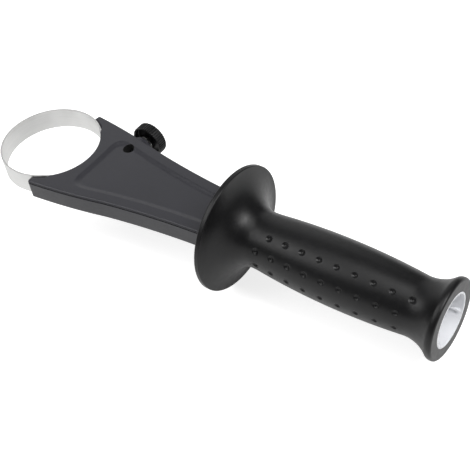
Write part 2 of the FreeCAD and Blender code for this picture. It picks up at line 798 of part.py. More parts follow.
def build_thumb_screw():
    """Nylon tip, steel stud with its collar, and the fluted knob."""
    tip_end = "tip_rest_y + tip_length"
    stem_end = f"{tip_end} + tip_stem_length"
    turned_about_y(
        "rod_tip",
        [
            ("0", "tip_rest_y"),
            ("tip_radius", "tip_rest_y"),
            ("tip_radius", tip_end),
            ("tip_stem_radius", tip_end),
            ("tip_stem_radius", stem_end),
            ("0", stem_end),
        ],
    )
    stud_start = f"{tip_end} + running_gap"
    hole_end = f"{stem_end} + running_gap * 2"
    floor = "knob_start_y + knob_cup_depth"
    stud_end = f"{floor} + 2 * knob_wall"
    turned_about_y(
        "thumb_stud",
        [
            ("tip_stem_radius + running_gap", stud_start),
            ("screw_radius", stud_start),
            ("screw_radius", "stud_collar_y"),
            ("stud_collar_radius", "stud_collar_y"),
            ("stud_collar_radius", floor),
            ("screw_radius", floor),
            ("screw_radius", stud_end),
            ("0", stud_end),
            ("0", hole_end),
            ("tip_stem_radius + running_gap", hole_end),
        ],
    )
    knob = turned_about_y(
        "thumb_knob",
        [
            ("screw_radius", floor),
            ("knob_radius - knob_wall", floor),
            ("knob_radius - knob_wall", "knob_start_y"),
            ("knob_radius", "knob_start_y"),
            ("knob_radius", "knob_end_y - knob_chamfer"),
            ("knob_radius - knob_chamfer", "knob_end_y"),
            ("0", "knob_end_y"),
            ("0", stud_end),
            ("screw_radius", stud_end),
        ],
    )
    flute = new_sketch(knob, "flute_circle", "XZ_Plane", "-(knob_start_y - running_gap)")
    draw_circle(flute, "flute_radius", "knob_radius + flute_radius - flute_depth")
    cut = extrude(knob, "Pocket", "flute_cut", flute, "knob_end_y - knob_start_y")
    ring = knob.newObject("PartDesign::PolarPattern", "flute_ring")
    ring.Originals = [cut]
    ring.Axis = (flute, ["N_Axis"])
    ring.Angle = 360
    ring.setExpression("Occurrences", bound("flute_count"))
    knob.Tip = ring


build_base()
build_strap()
build_bolt()
build_thrust_washer()
build_nut()
build_retainer()
build_core()
build_sleeve()
build_insert()
build_thumb_screw()
doc.recompute()

for item in doc.Objects:
    if "Invalid" in item.State or "Error" in item.State:
        raise RuntimeError(f"{item.Name} failed: {item.State}")
for piece in pieces:
    if piece.Shape.isNull() or not piece.Shape.isValid() or len(piece.Shape.Solids) != 1:
        raise RuntimeError(f"{piece.Label} is not one valid solid")

os.makedirs("parts", exist_ok=True)
for piece in pieces:
    piece.Shape.exportStep(os.path.join("parts", f"{piece.Label}.step"))
    print(f"{piece.Label}: {piece.Shape.Volume / 1000:.2f} cm3")
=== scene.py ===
import math

import bpy
from mathutils import Matrix, Vector


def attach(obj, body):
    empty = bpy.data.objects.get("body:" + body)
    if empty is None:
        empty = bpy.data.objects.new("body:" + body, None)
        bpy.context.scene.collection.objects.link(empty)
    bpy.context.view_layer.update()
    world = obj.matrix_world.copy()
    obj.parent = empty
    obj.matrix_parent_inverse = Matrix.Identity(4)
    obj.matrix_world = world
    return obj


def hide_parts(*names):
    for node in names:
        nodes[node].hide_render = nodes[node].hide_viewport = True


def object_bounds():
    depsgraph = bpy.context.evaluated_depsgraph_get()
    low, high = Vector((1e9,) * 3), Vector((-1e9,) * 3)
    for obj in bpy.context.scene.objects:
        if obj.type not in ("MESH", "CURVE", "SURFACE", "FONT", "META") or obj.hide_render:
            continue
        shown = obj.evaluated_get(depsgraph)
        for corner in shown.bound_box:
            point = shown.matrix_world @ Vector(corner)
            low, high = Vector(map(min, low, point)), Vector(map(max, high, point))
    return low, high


bl_info = {
    "name": "Power tool side handle",
    "version": (1, 0, 0),
    "blender": (4, 5, 0),
    "location": "View3D > Sidebar > Side Handle",
    "description": "Models and finishes the side handle of a rotary hammer on its frame",
    "category": "Object",
}

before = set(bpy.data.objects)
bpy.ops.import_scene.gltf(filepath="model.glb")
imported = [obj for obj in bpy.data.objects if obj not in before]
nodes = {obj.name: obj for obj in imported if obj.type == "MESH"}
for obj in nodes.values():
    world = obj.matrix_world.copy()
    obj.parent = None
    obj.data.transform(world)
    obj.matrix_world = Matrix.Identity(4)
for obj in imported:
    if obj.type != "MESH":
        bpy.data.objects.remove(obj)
cad_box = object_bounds()

HALF_TURN = math.pi
FULL_TURN = 2 * math.pi
ALONG = Vector((1, 0, 0))
ACROSS = Vector((0, 1, 0))
UP = Vector((0, 0, 1))

# Distances below are in metres, like every size in this file.
MERGE_DISTANCE = 0.000002
SAME_PLACE = 0.000001
BORE_OVERRUN = 0.001

# Bores inside the base, for the bolt, the insert and the screw's tip.
BOLT_BORE = 0.0044
INSERT_BORE = 0.0046
INSERT_FLOOR = 0.0234
TIP_BORE = 0.0031
TIP_BORE_END = 0.024

# The face where the sleeve sits on the core, as places along the handle and radii.
JOINT_GAP = 0.00002
FLANGE_DEPTH = 0.0031
HUB_X, HUB_END_X, HUB_RADIUS = 0.144, 0.1515, 0.0122
BODY_X, BODY_RADIUS = 0.160, 0.0137
BODY_END_X, BODY_END_RADIUS = 0.246, 0.0139
BODY_ARC = 0.4
CONE_X = 0.258

# The flare between the waist and the end lip.
FLARE_TOP = (0.2623, 0.02165)
FLARE_ARC = 0.0203
LIP_ARC = 0.004
NECK_BULGE = 0.0554

# The core's own steps.
CORE_FRONT_X = 0.13605
CORE_FLANGE_END_X = 0.13905
NUT_SEAT_X, NUT_SEAT_END_X, RETAINER_END_X = 0.15, 0.1565, 0.158
NUT_POCKET = 0.0065
RETAINER_RADIUS = 0.009
HOLLOW_RADIUS, HOLLOW_END_RADIUS = 0.0114, 0.01265

FLOOR_GLOW = 0.8


def length(name, description, default):
    """A length property shown in scene units."""
    return bpy.props.FloatProperty(
        name=name, description=description, default=default, unit="LENGTH", precision=5
    )


def angle(name, description, degrees):
    """An angle property, given in degrees."""
    return bpy.props.FloatProperty(
        name=name, description=description, default=math.radians(degrees), unit="ROTATION"
    )


def strength(name, description, default, unit="NONE"):
    """A lamp's power or a plain share, never below 0."""
    return bpy.props.FloatProperty(
        name=name, description=description, default=default, min=0, unit=unit
    )


def count(name, description, default):
    """A whole-number property."""
    return bpy.props.IntProperty(name=name, description=description, default=default, min=1)


def paint(name, description, default):
    """A colour property."""
    return bpy.props.FloatVectorProperty(
        name=name, description=description, default=default, subtype="COLOR", size=3, min=0, max=1
    )


class StrapSizes(bpy.types.PropertyGroup):
    """Spring steel strap that grips the tool's collar."""

    radius: length("Inner radius", "Radius of the collar that it grips", 0.030)
    gauge: length("Gauge", "Thickness of the steel strip", 0.001)
    width: length("Width", "Width of the strip round the ring", 0.0134)
    leg_width: length("Leg width", "Width of the narrowed legs", 0.0078)
    leg_angle: angle("Leg angle", "Where each leg leaves the ring", 56)
    shoulder_x: length("Shoulder", "Where the strip narrows, along the handle", 0.0174)
    tab_x: length("Tabs", "Front face of the first tab, along the handle", 0.044531)
    tab_gap: length("Tab gap", "Clearance between the two tabs", 0.0001)
    tab_reach: length("Tab reach", "How far each tab passes the centre line", 0.005)
    fork_half: length("Fork", "Half the width of the slot in each tab", 0.00235)
    fork_root: length("Fork root", "How far the slot reaches behind the centre line", 0.00395)
    bend_radius: length("Bend", "Inner radius of the bend between leg and tab", 0.001)


class BaseSizes(bpy.types.PropertyGroup):
    """Moulded base with the saddle and two horns."""

    gauge: length("Gauge", "Thickness of the moulding", 0.0128)
    saddle_radius: length("Saddle", "Radius of the saddle between the horns", 0.030)
    tooth_angle: angle("Tooth", "Where the saddle steps out to each horn", 53)
    horn_arc: length("Horn arc", "Radius inside each horn, clear of the strap", 0.0313)
    horn_angle: angle("Horn tip", "Where each horn ends", 69.5)
    horn_x: length("Horn end", "Outer corner of each horn, along the handle", 0.0112)
    horn_half: length("Horn half width", "Outer corner of each horn, off the centre", 0.0334)
    far_horn_x: length("Far horn end", "Outer corner of the far horn, along the handle", 0.0100)
    far_horn_angle: angle("Far horn tip", "Where the far horn ends", 71.8)
    waist_x: length("Waist", "Where the flank turns from convex to concave", 0.062)
    waist_half: length("Waist half width", "Half the width at the waist", 0.0252)
    end_x: length("Rear end", "Rear face, along the handle", 0.1345)
    end_half: length("Rear half width", "Half the width at the rear", 0.0168)
    flank_radius: length("Flank radius", "Bulge of the flank by the horns", 0.42)
    sweep_radius: length("Sweep radius", "Hollow of the flank towards the grip", 0.56)
    horn_round: length("Horn rounding", "Radius of the horns' outer corners", 0.0016)
    edge_round: length("Edge rounding", "Radius along the flanks' edges", 0.00115)
    bead: length("Bead", "Height of the bead along each flank's top", 0.0012)
    seam: length("Seam", "Height of the seam under the bead", 0.0008)
    seam_depth: length("Seam depth", "Depth of the seam", 0.0006)
    panel_depth: length("Panel depth", "Depth of the sunk panel", 0.001)
    panel_margin: length("Panel margin", "Rim left along each flank", 0.0058)
    panel_front_x: length("Panel front", "Where the panel starts, along the handle", 0.0341)
    panel_bow: length("Panel bow", "How far the panel's front bows, in its middle", 0.0008)
    panel_end_x: length("Panel end", "Where the panel ends, along the handle", 0.1275)
    panel_corner: length("Panel corner", "Reach of the panel's round corners", 0.0105)
    panel_slope: length("Panel slope", "Width of the soft edge round the panel", 0.0042)
    boss_radius: length("Boss", "Radius of the screw boss on the far flank", 0.0062)
    boss_end: length("Boss end", "End face of the boss, off the centre", 0.030)
    rod_x: length("Rod hole", "Centre of the depth rod hole, along the handle", 0.0462)
    rod_y: length("Rod hole offset", "Centre of the depth rod hole, off the centre", 0.0184)
    rod_radius: length("Rod hole radius", "Radius of the depth rod hole", 0.0033)


class GripSizes(bpy.types.PropertyGroup):
    """Rubber sleeve on the hollow core."""

    guard_x: length("Guard", "Front face of the guard, along the handle", 0.1359)
    guard_gauge: length("Guard gauge", "Thickness of the guard's rim", 0.0032)
    guard_radius: length("Guard radius", "Radius of the guard", 0.0365)
    front_radius: length("Core flange", "Radius of the core's front flange", 0.0172)
    rim_round: length("Rim rounding", "Rounding of the rim's rear edge", 0.0005)
    rim_front_round: length("Rim front", "Rounding of the rim's front edge", 0.001)
    trumpet_x: length("Trumpet", "Middle of the trumpet, along the handle", 0.148)
    trumpet_radius: length("Trumpet radius", "Radius in the trumpet's middle", 0.01892)
    trumpet_arc: length("Trumpet arc", "Hollow of the trumpet by the rim", 0.0232)
    neck_arc: length("Neck arc", "Hollow of the trumpet by the neck", 0.013)
    neck_x: length("Neck", "Thinnest place behind the guard", 0.156)
    neck_radius: length("Neck radius", "Radius of the neck", 0.01617)
    belly_x: length("Barrel start", "Where the barrel starts", 0.1616)
    belly_radius: length("Barrel start radius", "Radius where the barrel starts", 0.01645)
    waist_x: length("Barrel end", "Where the barrel ends in the waist", 0.2474)
    waist_radius: length("Waist radius", "Radius of the waist", 0.0162)
    barrel_arc: length("Barrel arc", "Bulge of the barrel along its length", 0.425)
    lip_radius: length("Lip radius", "Radius of the end lip", 0.0222)
    lip_round: length("Lip rounding", "Rounding of the end lip", 0.0013)
    end_x: length("Open end", "Rear face of the grip", 0.2662)
    mouth_radius: length("Mouth", "Outer radius of the core in the open end", 0.01515)
    core_wall: length("Core wall", "Wall of the hollow core", 0.00125)
    dimple_start: length("First dimple", "Centre of the first dimple, along the handle", 0.1606)
    dimple_pitch: length("Dimple pitch", "Distance between dimples in a row", 0.0104)
    dimple_stagger: length("Dimple stagger", "Shift of the outer rows", 0.0055)
    dimple_radius: length("Dimple radius", "Radius of a dimple at the surface", 0.0017)
    dimple_depth: length("Dimple depth", "Depth of a dimple", 0.0009)
    dimple_rows: angle("Row angle", "Angle between rows of dimples", 32.2)
    dimple_reach: count("Rows", "Rows of dimples to each side of the middle one", 4)
    dimple_count: count("Dimples", "Dimples in one row", 9)
    clocking: angle("Clocking", "Angle of the middle row about the handle", 250.4)
    rib_turn: angle("Core ribs", "Angle of the middle between two ribs in the core", 5.9)


class KnobSizes(bpy.types.PropertyGroup):
    """Fluted knob of the thumb screw."""

    place: length("Place", "Screw axis, along the handle", 0.0474)
    start: length("Near face", "Face towards the base, off the centre", 0.0328)
    end: length("Outer face", "Outer face, off the centre", 0.0392)
    radius: length("Radius", "Radius over the flutes", 0.0104)
    wall: length("Wall", "Wall round the cup", 0.0013)
    cup: length("Cup depth", "Depth of the cup that faces the base", 0.0035)
    stud_radius: length("Stud radius", "Radius of the stud in the knob", 0.003)
    flutes: count("Flutes", "Flutes round the knob", 46)
    flute_depth: length("Flute depth", "Depth of a flute", 0.00048)


class Finishes(bpy.types.PropertyGroup):
    """Colours of the finishes."""

    base_grey: paint("Base", "Dark grey moulded plastic", (0.0215, 0.0215, 0.027))
    rubber: paint("Rubber", "Black rubber of the sleeve", (0.0036, 0.0036, 0.0040))
    core_white: paint("Core", "White plastic of the core", (0.93, 0.94, 0.97))
    knob_black: paint("Knob", "Black plastic of the knob", (0.004, 0.004, 0.0044))
    strap_steel: paint("Strap", "Satin spring steel", (0.74, 0.74, 0.73))
    zinc: paint("Zinc", "Zinc-plated steel inside", (0.58, 0.60, 0.63))
    bright_steel: paint("Bright steel", "Stud and collar", (0.80, 0.80, 0.80))
    insert: paint("Insert", "Threaded steel insert", (0.42, 0.42, 0.41))
    nylon: paint("Nylon", "Tip of the screw", (0.62, 0.60, 0.52))


class StageSettings(bpy.types.PropertyGroup):
    """Floor, lamps and camera."""

    floor_size: length("Floor", "Side of the square floor", 8.0)
    mirrored_share: strength("Mirrored floor", "Glow of the floor in reflections", 0.6)
    key_power: strength("Key lamp", "Power of the overhead lamp", 8.0, "POWER")
    side_power: strength("Side lamp", "Power of the lamp by the strap", 8.5, "POWER")
    end_power: strength("End lamp", "Power of the lamp off the open end", 14.0, "POWER")
    back_power: strength("Backdrop", "Power of the low lamp behind", 4.2, "POWER")
    room_light: strength("Room light", "Strength of the even light all round", 0.09)


def drop_selection():
    """Leaves nothing selected, in object mode."""
    if bpy.context.object and bpy.context.object.mode != "OBJECT":
        bpy.ops.object.mode_set(mode="OBJECT")
    bpy.ops.object.select_all(action="DESELECT")


def take(piece):
    """Makes one piece the only selected one and the active one."""
    drop_selection()
    piece.select_set(True)
    bpy.context.view_layer.objects.active = piece


def arc(start, end, radius, turn, steps):
    """Points after start along the short arc to end, to the left for 1, to the right for -1."""
    first = Vector(start)
    last = Vector(end)
    chord = last - first
    left = Vector((-chord.y, chord.x)).normalized()
    rise = math.sqrt(max(radius**2 - (chord.length / 2) ** 2, 0))
    centre = (first + last) / 2 + left * rise * turn
    begin = math.atan2(first.y - centre.y, first.x - centre.x)
    sweep = 2 * math.asin(min(chord.length / 2 / radius, 1)) * turn
    points = []
    for step in range(1, steps + 1):
        a = begin + sweep * step / steps
        points.append((centre.x + radius * math.cos(a), centre.y + radius * math.sin(a)))
    return points


def trace(name, points):
    """A wire begun as a small plane, merged to one corner and extruded from point to point."""
    drop_selection()
    bpy.ops.mesh.primitive_plane_add(size=0.001, location=points[0])
    wire = bpy.context.object
    wire.name = name
    bpy.ops.object.mode_set(mode="EDIT")
    bpy.ops.mesh.select_mode(type="VERT")
    bpy.ops.mesh.select_all(action="SELECT")
    bpy.ops.mesh.merge(type="CENTER")
    for before, after in zip(points, points[1:]):
        step = Vector(after) - Vector(before)
        bpy.ops.mesh.extrude_region_move(TRANSFORM_OT_translate={"value": step})
    return wire


def clean_shell():
    """Merges doubles and turns every face outwards, in edit mode, then leaves it."""
    bpy.ops.mesh.select_all(action="SELECT")
    bpy.ops.mesh.remove_doubles(threshold=MERGE_DISTANCE)
    bpy.ops.mesh.normals_make_consistent(inside=False)
    bpy.ops.object.mode_set(mode="OBJECT")


def settle(piece):
    """Puts the place of a piece into its mesh, so that its object sits at the origin."""
    take(piece)
    bpy.ops.object.transform_apply(location=True, rotation=True, scale=True)


def turned(name, section, steps, centre=(0, 0, 0), axis=ALONG, closed=True):
    """A piece spun full circle from its section, given as points in space."""
    points = section + [section[0]] if closed else section
    piece = trace(name, points)
    bpy.ops.mesh.select_all(action="SELECT")
    bpy.ops.mesh.remove_doubles(threshold=MERGE_DISTANCE)
    bpy.ops.mesh.spin(steps=steps, angle=FULL_TURN, center=centre, axis=axis)
    clean_shell()
    settle(piece)
    return piece


def slab(name, outline, low, high):
    """An outline filled and extruded from one height to another."""
    piece = trace(name, [(x, y, low) for x, y in outline])
    bpy.ops.mesh.select_all(action="SELECT")
    bpy.ops.mesh.edge_face_add()
    bpy.ops.mesh.extrude_region_move(TRANSFORM_OT_translate={"value": (0, 0, high - low)})
    clean_shell()
    settle(piece)
    return piece


def ribbon(name, line, low, high, gauge):
    """A line extruded upwards and thickened evenly to both sides."""
    piece = trace(name, [(x, y, low) for x, y in line])
    bpy.ops.mesh.select_all(action="SELECT")
    bpy.ops.mesh.extrude_region_move(TRANSFORM_OT_translate={"value": (0, 0, high - low)})
    clean_shell()
    settle(piece)
    finish_with(piece, "SOLIDIFY", thickness=gauge, offset=0, use_even_offset=True)
    return piece


def finish_with(piece, kind, **settings):
    """Adds one modifier with its settings and applies it."""
    take(piece)
    bpy.ops.object.modifier_add(type=kind)
    modifier = piece.modifiers[-1]
    for name, value in settings.items():
        setattr(modifier, name, value)
    bpy.ops.object.modifier_apply(modifier=modifier.name)


def combine(piece, tool, operation="DIFFERENCE"):
    """Cuts a tool out of a piece, or joins it on, and removes the tool."""
    finish_with(piece, "BOOLEAN", object=tool, operation=operation, solver="EXACT")
    drop_selection()
    bpy.data.objects.remove(tool)


def rod(name, radius, start, end, sides):
    """A round bar between two points along one axis."""
    drop_selection()
    first = Vector(start)
    line = Vector(end) - first
    bpy.ops.mesh.primitive_cylinder_add(
        vertices=sides,
        radius=radius,
        depth=line.length,
        location=first + line / 2,
        rotation=line.to_track_quat("Z", "Y").to_euler(),
    )
    bar = bpy.context.object
    bar.name = name
    settle(bar)
    return bar


def block(name, low, high):
    """A square-edged block between two corners."""
    drop_selection()
    middle = (Vector(low) + Vector(high)) / 2
    bpy.ops.mesh.primitive_cube_add(size=1, location=middle)
    solid = bpy.context.object
    solid.name = name
    solid.scale = Vector(high) - Vector(low)
    settle(solid)
    return solid


def choose(piece, kind, rule):
    """Selects the vertices, edges or faces of a piece whose mesh element passes the rule."""
    drop_selection()
    mesh = piece.data
    for group in (mesh.vertices, mesh.edges, mesh.polygons):
        for element in group:
            element.select = False
    chosen = [element for element in getattr(mesh, kind) if rule(element)]
    for element in chosen:
        element.select = True
    take(piece)
    mode = {"vertices": "VERT", "edges": "EDGE", "polygons": "FACE"}[kind]
    bpy.ops.object.mode_set(mode="EDIT")
    bpy.ops.mesh.select_mode(type=mode)
    return chosen


def bevel_chosen(offset, segments):
    """Rounds the chosen edges, or those of the chosen faces, and leaves edit mode."""
    bpy.ops.mesh.bevel(offset=offset, segments=segments, affect="EDGES")
    bpy.ops.object.mode_set(mode="OBJECT")


def join_all(pieces):
    """Joins several pieces into the first one."""
    take(pieces[0])
    for piece in pieces:
        piece.select_set(True)
    bpy.ops.object.join()
    return bpy.context.object


def soften(piece, degrees):
    """Smooth shading over gentle angles, with normals weighted by face size."""
    take(piece)
    bpy.ops.object.shade_smooth_by_angle(angle=math.radians(degrees))
    finish_with(piece, "WEIGHTED_NORMAL", keep_sharp=True, weight=50)


def place(piece, body, material, slot, *stands_for):
    """Hangs a finished piece on its body and gives it its finish."""
    piece.data.materials.clear()
    piece.data.materials.append(material)
    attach(piece, body)
    if stands_for:
        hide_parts(*stands_for)


def dress_node(name, material):
    """Gives a frame node its finish."""
    mesh = nodes[name].data
    mesh.materials.clear()
    mesh.materials.append(material)


def flank_line(s, side):
    """Line along one flank of the base from the horn to the rear end."""
    line = [(s.far_horn_x if side > 0 else s.horn_x, s.horn_half)]
    line += arc(line[0], (s.waist_x, s.waist_half), s.flank_radius, -1, 24)
    line += arc(line[-1], (s.end_x, s.end_half), s.sweep_radius, 1, 24)
    return [(x, y * side) for x, y in line]


def half_at(s, x):
    """Half the width of the base at one place along the handle."""
    line = flank_line(s, -1)
    for (x0, y0), (x1, y1) in zip(line, line[1:]):
        if x0 <= x <= x1:
            return -(y0 + (y1 - y0) * (x - x0) / (x1 - x0))
    return s.end_half


def polar(radius, turn):
    """Point at a radius and angle about the ring's centre."""
    return radius * math.cos(turn), radius * math.sin(turn)


def base_outline(s):
    """Outline of the base: saddle, horns and flanks, with the horns' inner arcs."""
    saddle_low = polar(s.saddle_radius, -s.tooth_angle)
    saddle_high = polar(s.saddle_radius, s.tooth_angle)
    outline = [saddle_low]
    outline += arc(saddle_low, (s.saddle_radius, 0), s.saddle_radius, 1, 28)
    outline += arc((s.saddle_radius, 0), saddle_high, s.saddle_radius, 1, 28)
    far_foot = polar(s.horn_arc, s.tooth_angle)
    outline.append(far_foot)
    outline += arc(far_foot, polar(s.horn_arc, s.far_horn_angle), s.horn_arc, 1, 8)
    outline += flank_line(s, 1)
    outline += list(reversed(flank_line(s, -1)))
    low_foot = polar(s.horn_arc, -s.tooth_angle)
    low_tip = polar(s.horn_arc, -s.horn_angle)
    outline.append(low_tip)
    outline += arc(low_tip, low_foot, s.horn_arc, 1, 8)
    return outline


def round_corner(before, corner, after, steps):
    """Points of a soft corner between two points, drawn towards the corner itself."""
    first, middle, last = Vector(before), Vector(corner), Vector(after)
    points = []
    for step in range(1, steps):
        share = step / steps
        spot = first * (1 - share) ** 2 + middle * 2 * share * (1 - share) + last * share**2
        points.append(tuple(spot))
    return points


def panel_line(s, inward):
    """Outline of the sunk panel, moved in from its brink."""
    inset = s.panel_margin + inward
    front = s.panel_front_x + inward
    rear = s.panel_end_x - inward
    reach = s.panel_corner - inward / 2
    rear_reach = reach / 2
    front_half = half_at(s, front) - inset
    rear_half = half_at(s, rear) - inset
    side = []
    for step in range(33):
        x = front + reach + (rear - front - reach - rear_reach) * step / 32
        side.append((x, half_at(s, x) - inset))
    face = []
    for step in range(17):
        y = (front_half - reach) * (step / 8 - 1)
        face.append((front + s.panel_bow * (1 - (y / front_half) ** 2), y))
    line = list(face)
    line += round_corner(face[-1], (front, front_half), side[0], 8)
    line += side
    line += round_corner(side[-1], (rear, rear_half), (rear, rear_half - rear_reach), 8)
    line += [(rear, rear_half - rear_reach), (rear, rear_reach - rear_half)]
    low = [(x, -y) for x, y in reversed(side)]
    line += round_corner(line[-1], (rear, -rear_half), low[0], 8)
    line += low
    line += round_corner(low[-1], (front, -front_half), face[0], 8)
    return line


def panel_tool(s, side):
    """Shallow tray with a soft S-shaped edge that sinks the panel into one broad face."""
    lift = 0.00004
    rings = 8
    levels = [(0, s.gauge)]
    for ring in range(rings + 1):
        share = ring / rings
        fall = (s.panel_depth + lift) * (1 - math.cos(HALF_TURN * share)) / 2
        levels.append((s.panel_slope * share, s.gauge / 2 + lift - fall))
    loops = []
    for inward, height in levels:
        points = [(x, y, height * side) for x, y in panel_line(s, inward)]
        loop = trace("panel_tool", points + points[:1])
        bpy.ops.mesh.select_all(action="SELECT")
        bpy.ops.mesh.remove_doubles(threshold=MERGE_DISTANCE)
        settle(loop)
        loops.append(loop)
    tray = join_all(loops)
    bpy.ops.object.mode_set(mode="EDIT")
    bpy.ops.mesh.select_all(action="SELECT")
    bpy.ops.mesh.bridge_edge_loops()
    for height in (levels[0][1], levels[-1][1]):
        level = height * side
        choose(tray, "vertices", lambda corner: abs(corner.co.z - level) < SAME_PLACE)
        bpy.ops.mesh.edge_face_add()
    clean_shell()
    return tray


class HANDLE_OT_base(bpy.types.Operator):
    """Model the moulded base with its saddle, horns, panels, slots and boss"""

    bl_idname = "handle.base"
    bl_label = "Base"

    def execute(self, context):
        s = context.scene.handle_base
        strap = context.scene.handle_strap
        knob = context.scene.handle_knob
        half = s.gauge / 2
        base = slab("base", base_outline(s), -half, half)

        def horn_corner(edge):
            ends = [base.data.vertices[i].co for i in edge.vertices]
            upright = abs(ends[0].z - ends[1].z) > half
            tip_x = s.far_horn_x if ends[0].y > 0 else s.horn_x
            corner = abs(ends[0].x - tip_x) < 1e-5 and abs(abs(ends[0].y) - s.horn_half) < 1e-5
            return upright and corner

        choose(base, "edges", horn_corner)
        bevel_chosen(s.horn_round, 8)

        def rim_edge(edge):
            ends = [base.data.vertices[i].co for i in edge.vertices]
            return abs(ends[0].z - ends[1].z) < SAME_PLACE

        choose(base, "edges", rim_edge)
        bevel_chosen(s.edge_round, 4)

        boss = rod(
            "boss",
            s.boss_radius,
            (knob.place, s.boss_end - s.boss_radius, 0),
            (knob.place, s.boss_end, 0),
            64,
        )
        choose(boss, "polygons", lambda face: face.normal.y > 0.9)
        bevel_chosen(0.0005, 3)
        combine(base, boss, "UNION")

        for side in (1, -1):
            combine(base, panel_tool(s, side))
        for side in (1, -1):
            top = half - s.bead
            line = flank_line(s, side)
            first, second = Vector(line[0]), Vector(line[1])
            ahead = first + (first - second).normalized() * s.horn_round * 2
            line.insert(0, (ahead.x, ahead.y))
            before, last = Vector(line[-2]), Vector(line[-1])
            beyond = last + (last - before).normalized() * s.horn_round
            line.append((beyond.x, beyond.y))
            combine(base, ribbon("seam_tool", line, top - s.seam, top, s.seam_depth * 2))

        slot_high = strap.leg_width / 2 + 0.0003
        outer = strap.radius + strap.gauge + 0.00045
        inner = strap.radius - 0.0024
        cavity_end = strap.tab_x + 2 * strap.gauge + 0.0009
        middle = (outer + inner) / 2
        for side in (1, -1):
            ends = []
            for x in (strap.shoulder_x + strap.gauge / 2, cavity_end - 0.001):
                y = (middle - x * math.cos(strap.leg_angle)) / math.sin(strap.leg_angle)
                ends.append((x, y * side))
            slot = ribbon("slot_tool", ends, -slot_high, slot_high, outer - inner)
            combine(base, slot)
        mouth = block(
            "mouth_tool",
            (s.saddle_radius - 0.00375, -0.0061, -slot_high - 0.00005),
            (cavity_end, 0.0061, slot_high + 0.00005),
        )
        combine(base, mouth)
        rod_low, rod_high = (s.rod_x, s.rod_y, -s.gauge), (s.rod_x, s.rod_y, s.gauge)
        insert_floor = (knob.place, INSERT_FLOOR, 0)
        boss_face = (knob.place, s.boss_end + BORE_OVERRUN, 0)
        tip_low, tip_high = (knob.place, s.rod_y, 0), (knob.place, TIP_BORE_END, 0)
        bores = (
            ("bore_tool", BOLT_BORE, (strap.tab_x, 0, 0), (s.end_x + BORE_OVERRUN, 0, 0), 48),
            ("rod_tool", s.rod_radius, rod_low, rod_high, 56),
            ("seat_tool", INSERT_BORE, insert_floor, boss_face, 48),
            ("tip_tool", TIP_BORE, tip_low, tip_high, 40),
        )
        for bore in bores:
            combine(base, rod(*bore))
        soften(base, 30)
        place(base, "base", finish(context, "base_plastic"), "base_plastic", "grip_base")
        return {"FINISHED"}


class HANDLE_OT_strap(bpy.types.Operator):
    """Model the spring steel strap with its narrowed legs and forked tabs"""

    bl_idname = "handle.strap"
    bl_label = "Strap"

    def leg(self, s, side, tab_front):
        """Centre line of one leg from the ring's end to the end of its tab."""
        middle = s.radius + s.gauge / 2
        tab = tab_front + s.gauge / 2
        along = Vector((math.sin(s.leg_angle), -math.cos(s.leg_angle)))
        corner_y = (middle - tab * math.cos(s.leg_angle)) / math.sin(s.leg_angle)
        bend = s.bend_radius + s.gauge / 2
        trim = bend * math.tan(s.leg_angle / 2)
        before = Vector((tab, corner_y)) - along * trim
        points = [polar(middle, s.leg_angle), tuple(before)]
        points += arc(tuple(before), (tab, corner_y - trim), bend, -1, 6)
        points.append((tab, -s.tab_reach))
        return [(x, y * side) for x, y in points]

    def execute(self, context):
        s = context.scene.handle_strap
        half = s.width / 2
        middle = s.radius + s.gauge / 2
        step_up = 0.0002
        turns = [math.acos((s.shoulder_x + step_up) / middle), math.acos(s.shoulder_x / middle)]
        ring = 72
        for step in range(1, ring):
            turns.append(s.leg_angle + (FULL_TURN - 2 * s.leg_angle) * step / ring)
        turns += [FULL_TURN - turn for turn in turns[:2]]
        line = list(reversed(self.leg(s, 1, s.tab_x)))
        line += [polar(middle, turn) for turn in sorted(turns)]
        line += self.leg(s, -1, s.tab_x + s.gauge + s.tab_gap)
        strap = trace("strap", [(x, y, -half) for x, y in line])
        bpy.ops.mesh.select_all(action="SELECT")
        bpy.ops.mesh.extrude_region_move(TRANSFORM_OT_translate={"value": (0, 0, s.width)})
        clean_shell()
        settle(strap)
        choose(strap, "vertices", lambda corner: corner.co.x > s.shoulder_x + step_up / 2)
        bpy.ops.transform.resize(
            value=(1, 1, s.leg_width / s.width), center_override=(0, 0, 0)
        )
        bpy.ops.object.mode_set(mode="OBJECT")
        finish_with(strap, "SOLIDIFY", thickness=s.gauge, offset=0, use_even_offset=True)
        finish_with(
            strap, "BEVEL", width=0.00012, segments=2, limit_method="ANGLE", angle_limit=1.0
        )
        fork_back = s.tab_x + s.gauge + s.tab_gap / 2
        far_fork = block(
            "far_fork_tool",
            (s.tab_x - 0.00005, -s.tab_reach - 0.00005, -s.fork_half),
            (fork_back, s.fork_root, s.fork_half),
        )
        combine(strap, far_fork)
        near_fork = block(
            "near_fork_tool",
            (fork_back, -s.fork_root, -s.fork_half),
            (fork_back + s.gauge + s.tab_gap, s.tab_reach + 0.00005, s.fork_half),
        )
        combine(strap, near_fork)
        soften(strap, 40)
        place(strap, "strap", finish(context, "strap_steel"), "strap_steel", "clamp_band")
        return {"FINISHED"}


